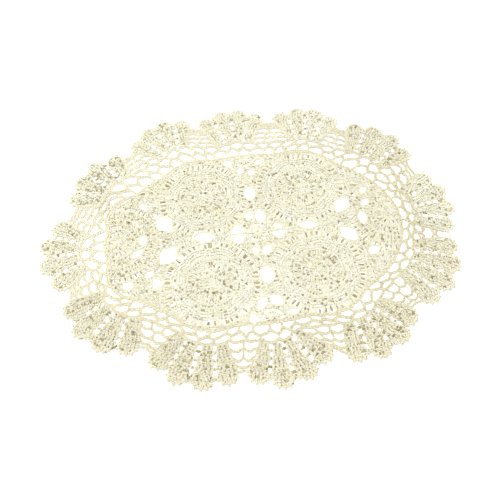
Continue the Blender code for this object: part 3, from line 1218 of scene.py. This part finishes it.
# Strands of the net that are drawn together, made dark with tan and painted shade along them
drawnStrands = (
    (
        (136.4, 60.6),
        (140.0, 52.9),
        (137.9, 35.4),
        (138.0, 14.9),
        (138.4, -3.2),
        (143.4, -22.9),
        (143.3, -36.8),
    ),
    ((144.1, 52.3), (141.7, 38.4), (145.2, 20.8), (147.8, 2.0), (149.1, -7.8), (146.0, -23.3)),
    ((-116.0, 65.9), (-134.8, 59.5), (-140.6, 50.0), (-142.9, 46.9)),
    ((-132.5, 51.9), (-139.5, 38.4)),
)


# Rounds of chain loops, each joined to the middles of the loops below it
def groundWork():
    chart = Chart("chainGround", tanAndShade=ground["tanAndShade"])
    chart.netTanAndShadeOf = netTanAndShade
    loops, ends, pull = ground["loops"], ground["roundEnds"], ground["pull"]
    heights = [b - a for a, b in zip(ends, ends[1:])]
    for number, share in enumerate(ends):
        outward = pull * heights[number] if 0 < number < len(heights) else 0.0
        inward = pull * heights[number - 1]
        if number == 0:
            outward, inward = ground["footPull"]
        line = []
        for loop in range(loops):
            start = loop + 0.5 * (number % 2)  # where this line is pulled outward
            for part, sway in ((0, outward), (0.17, 0.1 * outward), (0.33, -0.1 * inward)):
                line.append(groundPlace(start + part, share + sway))
            for part, sway in ((0.5, -inward), (0.67, -0.1 * inward), (0.83, 0.1 * outward)):
                line.append(groundPlace(start + part, share + sway))
        chart.chain(line, closed=True, width=ground["chainWidth"], raised=0.1, pitch=ground["linkPitch"])
    for number, height in enumerate(heights):
        low = ends[number] + pull * height * (number > 0)
        high = ends[number + 1] - pull * height
        for loop in range(loops):
            place = loop + 0.5 * (number % 2)
            stalk = groundPlace(place, low), groundPlace(place, high)
            chart.chain(stalk, width=ground["stalkWidth"], raised=0.2)
            joint = [groundPlace(place, high + part) for part in ground["joint"]]
            chart.add("knot", *joint, ground["jointWidth"], ground["knotHeight"], 0.2)
    for step in range(ground["edgingAcrossLoop"] * loops):
        place = step / ground["edgingAcrossLoop"]
        bump = groundPlace(place, -0.02), groundPlace(place, ground["edgingReach"])
        chart.add("knot", *bump, ground["edgingWidth"], ground["knotHeight"], 0.2)
    # The drawn strands are given painted shade, as dark lines along the net
    chart.netTanAndShadeOf = None
    chart.tanAndShade = ground["drawnTanAndShade"]
    for strand in drawnStrands:
        chart.chain(strand, width=ground["drawnWidth"], raised=0.6, pitch=ground["drawnPitch"])
    return chart


# The net between two fans: chain loops in rounds, and a chain along its open edge
def wedge(chart, fan, following):
    left, right = fanWork["sideRibs"][1], fanWork["sideRibs"][0]
    depth = fan.notch() - fanWork["notchRim"]
    farDepth = following.notch() - fanWork["notchRim"]
    fill = fan.row["fill"]
    rounds = round(min(depth, farDepth) / ground["wedgeDepth"])
    ends = [(number / rounds, (number + 1) / rounds) for number in range(rounds)]
    if fill > ground["edgeRow"] * 2:
        ends.append((1.0, 1.0 + (fill - 0.5) / depth))

    def place(across, filled):
        return between(fan.at(left, filled * depth), following.at(right, filled * farDepth), across)

    for low, top in ends:
        middle, height = (low + top) / 2, top - low
        loops = max(1, round(math.dist(place(0, middle), place(1, middle)) / ground["wedgeWidth"]))
        line = []
        for half in range(2 * loops + 1):
            sag = 0.3 * height if half % 2 == 0 else -0.1 * height
            line.append(place(half / 2 / loops, top - sag))
        chart.chain(line, width=ground["wedgeChain"], raised=0.1, pitch=ground["wedgePitch"])
        for loop in range(1, loops):
            stalk = [place(loop / loops, low), place(loop / loops, top - 0.3 * height)]
            chart.chain(stalk, width=ground["stalkWidth"], raised=0.15)
    rim = fan.notch() + fill, following.notch() + fill
    notch = between(fan.at(left, rim[0]), following.at(right, rim[1]), 0.5)
    edge = [fan.at(left, rim[0] + 1.5), notch, following.at(right, rim[1] + 1.5)]
    chart.chain(edge, width=ground["wedgeChain"], raised=0.1, pitch=ground["wedgePitch"])
    if fill and fill <= ground["edgeRow"] * 2:
        inner = [between(place(across, 1.0), point, 0.5) for across, point in zip((0, 0.5, 1), edge)]
        chart.chain(inner, width=ground["wedgeChain"], pitch=ground["wedgePitch"])


charts = [roundMotif(motif) for motif in roundMotifs]
charts += [halfMotifWork(motif) for motif in halfMotifs]
charts.append(groundWork())
charts += [fanChart(fan, fanShapes[(fan.number + 1) % len(fanShapes)]) for fan in fanShapes]
print("charts drawn:", sum(len(chart.stitches) for chart in charts), "stitches")

yarn = cottonMaterial()
forms = stitchCollection()
tree, sockets = crochetTree()


# The finished piece of a chart, as a plain mesh
def worked(chart, number):
    obj = chartObject(chart)
    modifier = obj.modifiers.new("crochetWork", "NODES")
    modifier.node_group = tree
    modifier[sockets["Stitches"]] = forms
    modifier[sockets["Shift"]] = handwork["shift"] * mm
    modifier[sockets["Turn"]] = math.radians(handwork["turn"])
    modifier[sockets["Least size"]] = handwork["sizeLeast"]
    modifier[sockets["Most size"]] = handwork["sizeMost"]
    modifier[sockets["Seed"]] = handwork["seed"] + number
    modifier[sockets["Yarn"]] = yarn
    graph = bpy.context.evaluated_depsgraph_get()
    mesh = bpy.data.meshes.new_from_object(obj.evaluated_get(graph))
    mesh.name = chart.name
    obj.modifiers.remove(modifier)
    chartMesh = obj.data
    obj.data = mesh
    bpy.data.meshes.remove(chartMesh)
    return obj


pieces = [worked(chart, number) for number, chart in enumerate(charts)]
for obj in list(forms.objects):
    bpy.data.objects.remove(obj, do_unlink=True)
bpy.data.collections.remove(forms)
print("worked:", sum(len(p.data.polygons) for p in pieces), "faces in", len(pieces), "pieces")

lowest = min(v.co.z for p in pieces for v in p.data.vertices)
print(f"lowest yarn at {lowest / mm:.2f} mm")
for piece in pieces:
    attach(piece, "root")
    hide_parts("doily")

# Each piece lies flat, so its cut is as wide and as long as it lies. The share is how much of that
# rectangle the piece's own work covers
sheetCover = {"rosette": 1.0, "halfMotif": 1.0, "chainGround": 0.3, "fan": 0.95}
for piece in pieces:
    corners = [Vector(corner) for corner in piece.bound_box]
    width = max(c.x for c in corners) - min(c.x for c in corners)
    length = max(c.y for c in corners) - min(c.y for c in corners)
    cover = next(share for name, share in sheetCover.items() if piece.name.startswith(name))
    surface = sum(face.area for face in piece.data.polygons) / 2
    share = surface / (cover * width * length)
    faces = len(piece.data.polygons)
    print(f"{piece.name}: {faces} faces, {width:.3f} x {length:.3f}, share {share:.2f}")

studio = {
    "floor": 4.0,  # m
    "floorTone": (0.8, 0.8, 0.8, 1),
    "floorGlow": 0.9,
    "world": 0.92,
    "key": 17.0,
    "keySize": 1.6,
    "keyPlace": (-0.5, 0.35, 1.6),
}


def stage():
    half = studio["floor"] / 2
    mesh = bpy.data.meshes.new("tableTop")
    places = [(-half, -half, 0), (half, -half, 0), (half, half, 0), (-half, half, 0)]
    mesh.from_pydata(places, [], [(0, 1, 2, 3)])
    floor = bpy.data.objects.new("tableTop", mesh)
    bpy.context.scene.collection.objects.link(floor)
    paint = bpy.data.materials.new("whiteFloor")
    paint.use_nodes = True
    add = nodeMaker(paint.node_tree)
    seen = add("ShaderNodeLightPath").outputs["Is Camera Ray"]
    glow = add("ShaderNodeMath", {0: seen, 1: studio["floorGlow"]}, operation="MULTIPLY")
    for name, value in (
        ("Base Color", studio["floorTone"]),
        ("Roughness", 0.9),
        ("Emission Color", (1, 1, 1, 1)),
        ("Emission Strength", glow.outputs[0]),
    ):
        give(paint.node_tree, paint.node_tree.nodes["Principled BSDF"].inputs[name], value)
    mesh.materials.append(paint)

    world = bpy.data.worlds.new("studioWhite")
    bpy.context.scene.world = world
    world.use_nodes = True
    world.node_tree.nodes["Background"].inputs["Color"].default_value = (1, 1, 1, 1)
    world.node_tree.nodes["Background"].inputs["Strength"].default_value = studio["world"]

    light = bpy.data.lights.new("softBox", "AREA")
    light.energy = studio["key"]
    light.size = studio["keySize"]
    lamp = bpy.data.objects.new("softBox", light)
    lamp.location = studio["keyPlace"]
    lamp.rotation_euler = (-Vector(studio["keyPlace"])).to_track_quat("-Z", "Y").to_euler()
    bpy.context.scene.collection.objects.link(lamp)


# The photograph's view, in m
shot = {"place": (-0.0428, -0.3033, 0.4510), "target": (-0.0046, -0.0202, 0.0), "lens": 43.2}


def camera():
    data = bpy.data.cameras.new("camera")
    data.lens = shot["lens"]
    data.sensor_width = 36
    data.clip_start = 0.01
    obj = bpy.data.objects.new("camera", data)
    obj.location = shot["place"]
    look = Vector(shot["target"]) - Vector(shot["place"])
    obj.rotation_euler = look.to_track_quat("-Z", "Y").to_euler()
    bpy.context.scene.collection.objects.link(obj)
    bpy.context.scene.camera = obj


stage()
camera()
bpy.context.scene.view_settings.view_transform = "Standard"
print("stage and camera set")
